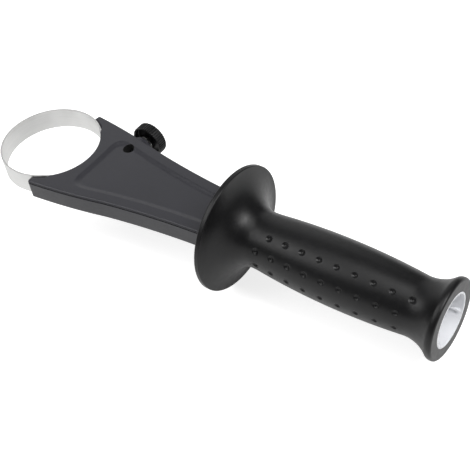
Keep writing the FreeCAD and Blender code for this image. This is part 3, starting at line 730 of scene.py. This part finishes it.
class HANDLE_OT_sleeve(bpy.types.Operator):
    """Model the rubber sleeve with its guard, trumpet, dimpled barrel and end lip"""

    bl_idname = "handle.sleeve"
    bl_label = "Sleeve"

    def section(self, s):
        """Outside of the sleeve from the open end to the guard's front, then its inside."""
        lip_start = (s.end_x, s.lip_radius - s.lip_round)
        lip_top = (s.end_x - s.lip_round, s.lip_radius)
        line = [(s.end_x, s.mouth_radius), (s.end_x, lip_start[1] - 0.0004), lip_start]
        line += arc(lip_start, lip_top, s.lip_round, 1, 8)
        line += arc(lip_top, FLARE_TOP, LIP_ARC, 1, 4)
        line += arc(FLARE_TOP, (s.waist_x, s.waist_radius), FLARE_ARC, -1, 14)
        line += arc(line[-1], (s.belly_x, s.belly_radius), s.barrel_arc, 1, 40)
        line += arc(line[-1], (s.neck_x, s.neck_radius), NECK_BULGE, -1, 6)
        line += arc(line[-1], (s.trumpet_x, s.trumpet_radius), s.neck_arc, -1, 14)
        rear = s.guard_x + s.guard_gauge
        line += arc(line[-1], (rear, s.guard_radius - s.rim_round), s.trumpet_arc, -1, 26)
        line += arc(line[-1], (rear - s.rim_round, s.guard_radius), s.rim_round, 1, 5)
        line.append((s.guard_x + s.rim_front_round, s.guard_radius))
        front = (s.guard_x, s.guard_radius - s.rim_front_round)
        line += arc(line[-1], front, s.rim_front_round, 1, 6)
        line += [
            (s.guard_x, front[1] - 0.0004),
            (s.guard_x, s.front_radius),
            (s.guard_x + FLANGE_DEPTH, s.front_radius),
            (HUB_X, HUB_RADIUS),
            (HUB_END_X, HUB_RADIUS),
        ]
        body, body_end = (BODY_X, BODY_RADIUS), (BODY_END_X, BODY_END_RADIUS)
        line += arc(body, body_end, BODY_ARC, -1, 16)
        line.append((CONE_X, BODY_END_RADIUS))
        return [(x, 0, r) for x, r in line]

    def dimple(self, s):
        """Tool for one dimple: a bowl whose edge flares out softly to the surface."""
        soft = 0.00035
        r, d = s.dimple_radius, s.dimple_depth
        bowl_radius = (r**2 + d**2) / (2 * d)
        section = [(0, 0, -d)]
        steps = 5
        reach = math.asin(r / bowl_radius) * 0.9
        for step in range(1, steps + 1):
            a = reach * step / steps
            section.append((bowl_radius * math.sin(a), 0, bowl_radius * (1 - math.cos(a)) - d))
        edge_r, edge_h = section[-1][0], section[-1][2]
        section.append((r + soft * 0.35, 0, edge_h * 0.35))
        section.append((r + soft * 1.1, 0, edge_h * 0.05 + 0.00001))
        section.append((r + soft * 2.4, 0, 0.00025))
        section.append((0, 0, 0.0012))
        return turned("dimple_tool", section, 20, axis=UP, closed=False)

    def surface(self, s, x):
        """Radius of the barrel at x."""
        middle = Vector(((s.belly_x + s.waist_x) / 2, (s.belly_radius + s.waist_radius) / 2))
        half_chord = (s.waist_x - s.belly_x) / 2
        lift = math.sqrt(s.barrel_arc**2 - half_chord**2)
        return middle.y + math.sqrt(s.barrel_arc**2 - (x - middle.x) ** 2) - lift

    def execute(self, context):
        s = context.scene.handle_grip
        sleeve = turned("sleeve", self.section(s), 144)
        tool = self.dimple(s)
        copies = []
        for row in range(-s.dimple_reach, s.dimple_reach + 1):
            turn = s.clocking + row * s.dimple_rows
            start = s.dimple_start + (s.dimple_stagger if abs(row) == s.dimple_reach else 0)
            outward = Vector((0, math.cos(turn), math.sin(turn)))
            tip = outward.to_track_quat("Z", "X").to_matrix().to_4x4()
            for step in range(s.dimple_count):
                x = start + step * s.dimple_pitch
                take(tool)
                bpy.ops.object.duplicate()
                copy = bpy.context.object
                spot = Vector((x, 0, 0)) + outward * self.surface(s, x)
                copy.matrix_world = Matrix.Translation(spot) @ tip
                copies.append(copy)
        drop_selection()
        bpy.data.objects.remove(tool)
        tools = join_all(copies)
        settle(tools)
        combine(sleeve, tools)
        soften(sleeve, 40)
        place(sleeve, "grip", finish(context, "grip_rubber"), "grip_rubber", "grip_sleeve")
        return {"FINISHED"}


class HANDLE_OT_core(bpy.types.Operator):
    """Model the white hollow core with the slim ribs in its bore"""

    bl_idname = "handle.core"
    bl_label = "Core"

    def execute(self, context):
        s = context.scene.handle_grip
        flange = s.front_radius - JOINT_GAP
        mouth = s.mouth_radius - JOINT_GAP
        hub = HUB_RADIUS - JOINT_GAP
        body = (BODY_X, BODY_RADIUS - JOINT_GAP)
        body_end = (BODY_END_X, BODY_END_RADIUS - JOINT_GAP)
        inner = s.mouth_radius - s.core_wall
        lip = 0.0002
        line = [(CORE_FRONT_X, BOLT_BORE), (CORE_FRONT_X, flange), (CORE_FLANGE_END_X, flange)]
        line += [(HUB_X, hub), (HUB_END_X, hub), body]
        line += arc(body, body_end, BODY_ARC, -1, 12)
        line += [(CONE_X, body_end[1]), (s.end_x - lip, mouth)]
        line += arc((s.end_x - lip, mouth), (s.end_x, mouth - lip), lip, -1, 3)
        line += [(s.end_x, inner + lip)]
        line += arc((s.end_x, inner + lip), (s.end_x - lip, inner), lip, -1, 3)
        line += [
            (CONE_X, HOLLOW_END_RADIUS),
            (RETAINER_END_X, HOLLOW_RADIUS),
            (RETAINER_END_X, RETAINER_RADIUS),
            (NUT_SEAT_END_X, RETAINER_RADIUS),
            (NUT_SEAT_END_X, BOLT_BORE),
        ]
        core = turned("core", [(x, 0, r) for x, r in line], 128)
        corners = []
        for turn in range(6):
            a = turn * HALF_TURN / 3
            corners.append(polar(NUT_POCKET / math.cos(HALF_TURN / 6), a))
        pocket = slab("pocket_tool", corners, 0, 0.007)
        take(pocket)
        pocket.matrix_world = Matrix(
            ((0, 0, 1, NUT_SEAT_X), (1, 0, 0, 0), (0, 1, 0, 0), (0, 0, 0, 1))
        )
        settle(pocket)
        combine(core, pocket)
        for side in (0, HALF_TURN):
            for lean in (-1, 1):
                turn = side + s.rib_turn + lean * s.dimple_rows
                rib = block("rib", (0.160, 0.0123, -0.0006), (s.end_x - 0.0012, 0.0142, 0.0006))
                take(rib)
                finish_with(rib, "BEVEL", width=0.0002, segments=2)
                rib.matrix_world = Matrix.Rotation(turn, 4, ALONG)
                settle(rib)
                combine(core, rib, "UNION")
        soften(core, 35)
        place(core, "grip", finish(context, "core_plastic"), "core_plastic", "grip_core")
        return {"FINISHED"}


class HANDLE_OT_knob(bpy.types.Operator):
    """Model the cupped knob with its flutes"""

    bl_idname = "handle.knob"
    bl_label = "Knob"

    def execute(self, context):
        s = context.scene.handle_knob
        floor = s.start + s.cup
        shoulder = 0.0009
        inner = s.radius - s.wall
        top = floor + 2 * s.wall
        line = [
            (s.stud_radius, floor),
            (inner - 0.0003, floor),
            (inner, floor - 0.0003),
            (inner, s.start + 0.0003),
            (inner + 0.0002, s.start),
            (s.radius - 0.0003, s.start),
            (s.radius, s.start + 0.0003),
            (s.radius, s.end - shoulder),
        ]
        line += arc(
            (s.radius, s.end - shoulder), (s.radius - shoulder, s.end), shoulder, 1, 5
        )
        line += [
            (s.radius - 0.0022, s.end),
            (s.radius - 0.0028, s.end - 0.0003),
            (0, s.end - 0.0003),
        ]
        points = [(s.place + r, y, 0) for r, y in line]
        points = [(s.place, top, 0), (s.place + s.stud_radius, top, 0)] + points
        per_flute = 4
        knob = turned(
            "knob",
            points,
            s.flutes * per_flute,
            centre=(s.place, 0, 0),
            axis=ACROSS,
            closed=False,
        )
        axis_point = Vector((s.place, 0, 0))
        shares = {0: 0.0, 1: 0.6, 2: 1.0, 3: 0.6}
        for column, share in shares.items():
            if not share:
                continue

            def in_column(corner):
                off = corner.co - axis_point
                radius = math.hypot(off.x, off.z)
                step = round(math.atan2(off.z, off.x) / FULL_TURN * s.flutes * per_flute)
                outside = radius > s.radius - shoulder * 0.9
                return outside and step % per_flute == column

            choose(knob, "vertices", in_column)
            factor = 1 - s.flute_depth * share / s.radius
            bpy.ops.transform.resize(
                value=(factor, 1, factor), center_override=(s.place, 0, 0)
            )
            bpy.ops.object.mode_set(mode="OBJECT")
        soften(knob, 32)
        place(knob, "thumb_screw", finish(context, "knob_plastic"), "knob_plastic", "thumb_knob")
        return {"FINISHED"}


def new_group(name, inputs, outputs):
    """A shader node group with named float or colour sockets, or the one made before."""
    if name in bpy.data.node_groups:
        return bpy.data.node_groups[name], False
    group = bpy.data.node_groups.new(name, "ShaderNodeTree")
    kinds = {"value": "NodeSocketFloat", "colour": "NodeSocketColor", "vector": "NodeSocketVector"}
    for label, kind in inputs:
        group.interface.new_socket(name=label, in_out="INPUT", socket_type=kinds[kind])
    for label, kind in outputs:
        group.interface.new_socket(name=label, in_out="OUTPUT", socket_type=kinds[kind])
    return group, True


def feed(tree, value, socket):
    """Links a socket to an input, or sets the input to a value."""
    if isinstance(value, bpy.types.NodeSocket):
        tree.links.new(value, socket)
    else:
        socket.default_value = value


def add_node(tree, kind, inputs, **settings):
    """A shader node with its settings, its inputs linked or set by name or number."""
    node = tree.nodes.new("ShaderNode" + kind)
    for name, value in settings.items():
        setattr(node, name, value)
    for socket, value in inputs.items():
        feed(tree, value, node.inputs[socket])
    return node


def maths(tree, operation, *values):
    """The result of one operation on numbers or sockets."""
    return add_node(tree, "Math", dict(enumerate(values)), operation=operation).outputs["Value"]


def noise(tree, vector, scale, detail, label):
    """A noise texture on a vector."""
    inputs = {"Vector": vector, "Scale": scale, "Detail": detail}
    return add_node(tree, "TexNoise", inputs, label=label).outputs["Fac"]


def reach(tree, value, low, high, from_low=0.3, from_high=0.7):
    """A value stretched to run between two others."""
    span = {"From Min": from_low, "From Max": from_high, "To Min": low, "To Max": high}
    return add_node(tree, "MapRange", {"Value": value, **span}).outputs["Result"]


def blend(tree, share, first, second, kind="RGBA"):
    """Two colours, or two numbers for the kind FLOAT, mixed by a share."""
    inputs = {"Factor": share, "A": first, "B": second}
    return add_node(tree, "Mix", inputs, data_type=kind).outputs["Result"]


MOULDED = "Moulded skin"
DRAWN = "Drawn metal"


def skin_group(name):
    """Colour, gloss and grain of a moulding, or of metal rolled or turned one way."""
    drawn = name == DRAWN
    group, fresh = new_group(
        name,
        [
            ("Shade", "colour"),
            ("Second shade", "colour"),
            ("Pattern", "vector" if drawn else "value"),
            ("Low roughness", "value"),
            ("High roughness", "value"),
        ],
        [("Colour", "colour"), ("Roughness", "value"), ("Height", "value")],
    )
    if not fresh:
        return group
    given = group.nodes.new("NodeGroupInput").outputs
    made = group.nodes.new("NodeGroupOutput").inputs
    spot = add_node(group, "TexCoord", {}).outputs["Object"]
    if drawn:
        inputs = {0: spot, 1: given["Pattern"]}
        stretched = add_node(group, "VectorMath", inputs, operation="MULTIPLY")
        height = noise(group, stretched.outputs["Vector"], 1, 5, "Streaks")
        clouds = height
        patches = noise(group, spot, 90, 3, "Patches")
    else:
        height = noise(group, spot, given["Pattern"], 4, "Grain")
        clouds = noise(group, spot, 60, 3, "Clouds")
        patches = noise(group, spot, 350, 4, "Gloss")
    share = reach(group, clouds, 0, 1)
    gloss = reach(group, patches, given["Low roughness"], given["High roughness"])
    feed(group, blend(group, share, given["Shade"], given["Second shade"]), made["Colour"])
    feed(group, gloss, made["Roughness"])
    feed(group, height, made["Height"])
    return group


def screw_thread():
    """Sawtooth height of a thread along one axis."""
    group, fresh = new_group(
        "Screw thread",
        [("Along", "value"), ("Side", "value"), ("Rise", "value"), ("Pitch", "value")],
        [("Height", "value")],
    )
    if not fresh:
        return group
    given = group.nodes.new("NodeGroupInput").outputs
    made = group.nodes.new("NodeGroupOutput").inputs
    turns = maths(group, "DIVIDE", maths(group, "ARCTAN2", given["Rise"], given["Side"]), FULL_TURN)
    rings = maths(group, "DIVIDE", given["Along"], given["Pitch"])
    wave = maths(group, "PINGPONG", maths(group, "ADD", rings, turns), 0.5)
    feed(group, maths(group, "MULTIPLY", wave, 2), made["Height"])
    return group


def new_material(name):
    """A material with only its output and Principled shader."""
    material = bpy.data.materials.new(name)
    material.use_nodes = True
    return material, material.node_tree, material.node_tree.nodes["Principled BSDF"]


def tint(colour, factor):
    """A colour made lighter or darker."""
    return tuple(min(part * factor, 1) for part in colour)


# Each finish: material name, colour, factors of its two shades, skin, grain size or stretch,
# least and most roughness, and the strength and depth of its bump.
FINISHES = {
    "base_plastic": (
        ("Base plastic", "base_grey", (1, 1.1), MOULDED, 2600, (0.33, 0.41), (0.2, 0.00008))
    ),
    "grip_rubber": (
        ("Grip rubber", "rubber", (1, 1.25), MOULDED, 3200, (0.35, 0.42), (0.15, 0.00005))
    ),
    "core_plastic": (
        ("Core plastic", "core_white", (1, 0.97), MOULDED, 1200, (0.38, 0.46), (0.08, 0.00005))
    ),
    "knob_plastic": (
        ("Knob plastic", "knob_black", (1, 1.2), MOULDED, 2400, (0.32, 0.42), (0.12, 0.00005))
    ),
    "tip_nylon": ("Tip nylon", "nylon", (1, 0.94), MOULDED, 1500, (0.4, 0.5), (0.1, 0.00003)),
    "strap_steel": (
        *("Strap steel", "strap_steel", (1, 0.93), DRAWN),
        *((40, 40, 2600), (0.46, 0.56), (0.08, 0.00003)),
    ),
    "zinc_steel": (
        ("Zinc steel", "zinc", (1, 0.88), DRAWN, (1800, 90, 90), (0.28, 0.42), (0.1, 0.00003))
    ),
    "bolt_zinc": (
        ("Bolt zinc", "zinc", (1, 0.88), DRAWN, (90, 90, 1800), (0.28, 0.42), (0.1, 0.00003))
    ),
    "spring_steel": (
        ("Spring steel", "zinc", (0.7, 0.6), DRAWN, (1800, 90, 90), (0.3, 0.45), (0.1, 0.00003))
    ),
    "bright_steel": (
        *("Bright steel", "bright_steel", (1, 0.9), DRAWN),
        *((90, 1800, 90), (0.1, 0.18), (0.05, 0.00002)),
    ),
    "insert_steel": (
        ("Insert steel", "insert", (1, 0.85), DRAWN, (90, 1800, 90), (0.35, 0.48), (0.1, 0.00002))
    ),
}
RUBBER_SHEEN = 0.33


def finish(context, key):
    """The material of one finish, made when it is first asked for."""
    name, colour_of, factors, skin, pattern, roughness, bump = FINISHES[key]
    if name in bpy.data.materials:
        return bpy.data.materials[name]
    material, tree, shader = new_material(name)
    colour = getattr(context.scene.handle_finish, colour_of)
    inputs = {
        "Shade": (*tint(colour, factors[0]), 1),
        "Second shade": (*tint(colour, factors[1]), 1),
        "Pattern": pattern,
        "Low roughness": roughness[0],
        "High roughness": roughness[1],
    }
    made = add_node(tree, "Group", inputs, node_tree=skin_group(skin)).outputs
    feed(tree, made["Colour"], shader.inputs["Base Color"])
    feed(tree, made["Roughness"], shader.inputs["Roughness"])
    inputs = {"Strength": bump[0], "Distance": bump[1], "Height": made["Height"]}
    feed(tree, add_node(tree, "Bump", inputs).outputs["Normal"], shader.inputs["Normal"])
    if skin == DRAWN:
        shader.inputs["Metallic"].default_value = 1
    if key == "grip_rubber":
        shader.inputs["Specular IOR Level"].default_value = RUBBER_SHEEN
    if key == "base_plastic":
        s = context.scene.handle_base
        # Painted shade: the rod hole's walls and a thin ring round its rim are painted near black.
        painted_bore_shade(tree, shader, (s.rod_x, s.rod_y, 0), s.rod_radius * 1.05)
    return material


def painted_bore_shade(tree, shader, centre, radius):
    """Paints shade on a moulding within a radius of one upright axis, darkening it like the shadow
    deep in a bore.
    """
    spot = add_node(tree, "TexCoord", {}).outputs["Object"]
    level = add_node(tree, "VectorMath", {0: spot, 1: (1, 1, 0)}, operation="MULTIPLY")
    inputs = {0: level.outputs["Vector"], 1: centre}
    away = add_node(tree, "VectorMath", inputs, operation="DISTANCE").outputs["Value"]
    share = reach(tree, away, 0, 1, radius * 0.99, radius * 1.02)
    colour, gloss = shader.inputs["Base Color"], shader.inputs["Roughness"]
    # Painted shade: a near-black colour that stands for the shadow inside the bore.
    bore_shade = (0.0004, 0.0004, 0.0004, 1)
    feed(tree, blend(tree, share, bore_shade, colour.links[0].from_socket), colour)
    feed(tree, blend(tree, share, 0.9, gloss.links[0].from_socket, "FLOAT"), gloss)


def threaded(material, axis, pitch, start, end):
    """Adds a bumped thread along one axis of a turned metal, between two places."""
    tree = material.node_tree
    normal = tree.nodes["Principled BSDF"].inputs["Normal"]
    spot = add_node(tree, "TexCoord", {}).outputs["Object"]
    shift = add_node(tree, "Mapping", {"Location": -start, "Vector": spot})
    split = add_node(tree, "SeparateXYZ", {"Vector": shift.outputs["Vector"]}).outputs
    side = split["Y" if axis == "X" else "X"]
    inputs = {"Along": split[axis], "Side": side, "Rise": split["Z"], "Pitch": pitch}
    thread = add_node(tree, "Group", inputs, node_tree=screw_thread()).outputs["Height"]
    half_run = (end - start).length / 2
    height = maths(
        tree, "MULTIPLY", thread, maths(tree, "COMPARE", split[axis], half_run, half_run)
    )
    fine = normal.links[0].from_socket
    inputs = {"Strength": 1, "Distance": pitch * 0.6, "Height": height, "Normal": fine}
    feed(tree, add_node(tree, "Bump", inputs).outputs["Normal"], normal)
    return material


class HANDLE_OT_hardware(bpy.types.Operator):
    """Finish the bolt, nut, washer, retainer, insert, tip and stud of the frame"""

    bl_idname = "handle.hardware"
    bl_label = "Hardware"

    def execute(self, context):
        knob = context.scene.handle_knob
        zinc = finish(context, "zinc_steel")
        bolt_start, bolt_end = Vector((0.110, 0, 0)), Vector((0.164, 0, 0))
        stud_start, stud_end = Vector((knob.place, 0.0245, 0)), Vector((knob.place, 0.0316, 0))
        bolt = threaded(finish(context, "bolt_zinc"), "X", 0.00125, bolt_start, bolt_end)
        stud = threaded(finish(context, "bright_steel"), "Y", 0.001, stud_start, stud_end)
        finishes = {
            "clamp_bolt": bolt,
            "thrust_washer": zinc,
            "grip_nut": zinc,
            "nut_retainer": finish(context, "spring_steel"),
            "thumb_nut": finish(context, "insert_steel"),
            "rod_tip": finish(context, "tip_nylon"),
            "thumb_stud": stud,
            "grip_base": finish(context, "base_plastic"),
            "clamp_band": finish(context, "strap_steel"),
            "grip_core": finish(context, "core_plastic"),
            "grip_sleeve": finish(context, "grip_rubber"),
            "thumb_knob": finish(context, "knob_plastic"),
        }
        for node, material in finishes.items():
            dress_node(node, material)
        return {"FINISHED"}


class HANDLE_OT_stage(bpy.types.Operator):
    """Set up the pale floor, the soft lamps and the camera"""

    bl_idname = "handle.stage"
    bl_label = "Stage"

    def floor(self, context):
        """Pale floor under the guard, white to the camera, that keeps the soft shadow."""
        s = context.scene.handle_stage
        drop_selection()
        low = cad_box[0]
        bpy.ops.mesh.primitive_plane_add(size=s.floor_size, location=(0.13, 0, low.z - 0.0001))
        ground = bpy.context.object
        ground.name = "floor"
        settle(ground)
        material, tree, shader = new_material("Floor")
        shader.inputs["Base Color"].default_value = (0.6, 0.6, 0.6, 1)
        shader.inputs["Roughness"].default_value = 0.9
        shader.inputs["Emission Color"].default_value = (1, 1, 1, 1)
        ray = add_node(tree, "LightPath", {}).outputs
        mirrored = maths(tree, "MULTIPLY", ray["Is Glossy Ray"], s.mirrored_share)
        seen = maths(tree, "MAXIMUM", ray["Is Camera Ray"], mirrored)
        through = maths(tree, "MAXIMUM", seen, ray["Is Transmission Ray"])
        glow = maths(tree, "MULTIPLY", through, FLOOR_GLOW)
        feed(tree, glow, shader.inputs["Emission Strength"])
        ground.data.materials.append(material)

    def lamp(self, name, place_at, target, size, power):
        """A large soft lamp aimed at a point."""
        drop_selection()
        bpy.ops.object.light_add(type="AREA", location=place_at)
        light = bpy.context.object
        light.name = name
        light.data.shape = "RECTANGLE"
        light.data.size, light.data.size_y = size
        light.data.energy = power
        aim = Vector(target) - Vector(place_at)
        light.rotation_mode = "QUATERNION"
        light.rotation_quaternion = aim.to_track_quat("-Z", "Y")

    def execute(self, context):
        s = context.scene.handle_stage
        self.floor(context)
        middle = (0.13, 0, 0)
        self.lamp("overhead", (0.22, -0.1, 1.5), middle, (1.0, 1.0), s.key_power)
        self.lamp("by_strap", (-0.68, -0.68, 1.06), middle, (0.9, 0.9), s.side_power)
        self.lamp("off_end", (0.98, 0.05, 1.22), middle, (0.7, 0.7), s.end_power)
        self.lamp("backdrop", (-0.82, 0.95, 0.66), middle, (1.5, 1.1), s.back_power)
        world = context.scene.world or bpy.data.worlds.new("Room")
        context.scene.world = world
        world.use_nodes = True
        background = world.node_tree.nodes["Background"]
        background.inputs["Color"].default_value = (1, 1, 1, 1)
        background.inputs["Strength"].default_value = s.room_light
        context.scene.view_settings.view_transform = "Standard"

        drop_selection()
        bpy.ops.object.camera_add()
        camera = bpy.context.object
        camera.name = "photo_view"
        right = Vector((0.8108, 0.5750, -0.1091))
        upward = Vector((-0.3516, 0.6276, 0.6946))
        back = Vector((0.4679, -0.5249, 0.711))
        turn = Matrix((right, upward, back)).transposed().to_4x4()
        camera.matrix_world = Matrix.Translation((0.3938, -0.2896, 0.3860)) @ turn
        camera.data.sensor_width = 36
        camera.data.lens = 76.68
        camera.data.clip_start = 0.01
        camera.data.clip_end = 20
        context.scene.camera = camera
        return {"FINISHED"}


class HANDLE_PT_panel(bpy.types.Panel):
    """Lists the steps that build the handle"""

    bl_label = "Side Handle"
    bl_idname = "HANDLE_PT_panel"
    bl_space_type = "VIEW_3D"
    bl_region_type = "UI"
    bl_category = "Side Handle"

    def draw(self, context):
        column = self.layout.column()
        for step in STEPS:
            column.operator(step.bl_idname)


STEPS = (
    HANDLE_OT_hardware,
    HANDLE_OT_base,
    HANDLE_OT_strap,
    HANDLE_OT_core,
    HANDLE_OT_sleeve,
    HANDLE_OT_knob,
    HANDLE_OT_stage,
)
GROUPS = {
    "handle_strap": StrapSizes,
    "handle_base": BaseSizes,
    "handle_grip": GripSizes,
    "handle_knob": KnobSizes,
    "handle_finish": Finishes,
    "handle_stage": StageSettings,
}


def register():
    """Registers the property groups, the steps and the panel."""
    for name, group in GROUPS.items():
        bpy.utils.register_class(group)
        setattr(bpy.types.Scene, name, bpy.props.PointerProperty(type=group))
    for step in STEPS:
        bpy.utils.register_class(step)
    bpy.utils.register_class(HANDLE_PT_panel)


def unregister():
    """Takes everything out again."""
    bpy.utils.unregister_class(HANDLE_PT_panel)
    for step in reversed(STEPS):
        bpy.utils.unregister_class(step)
    for name, group in GROUPS.items():
        delattr(bpy.types.Scene, name)
        bpy.utils.unregister_class(group)


def main():
    """Builds every piece and the stage."""
    register()
    bpy.ops.handle.hardware()
    bpy.ops.handle.base()
    bpy.ops.handle.strap()
    bpy.ops.handle.core()
    bpy.ops.handle.sleeve()
    bpy.ops.handle.knob()
    bpy.ops.handle.stage()
    drop_selection()


if __name__ == "__main__":
    main()
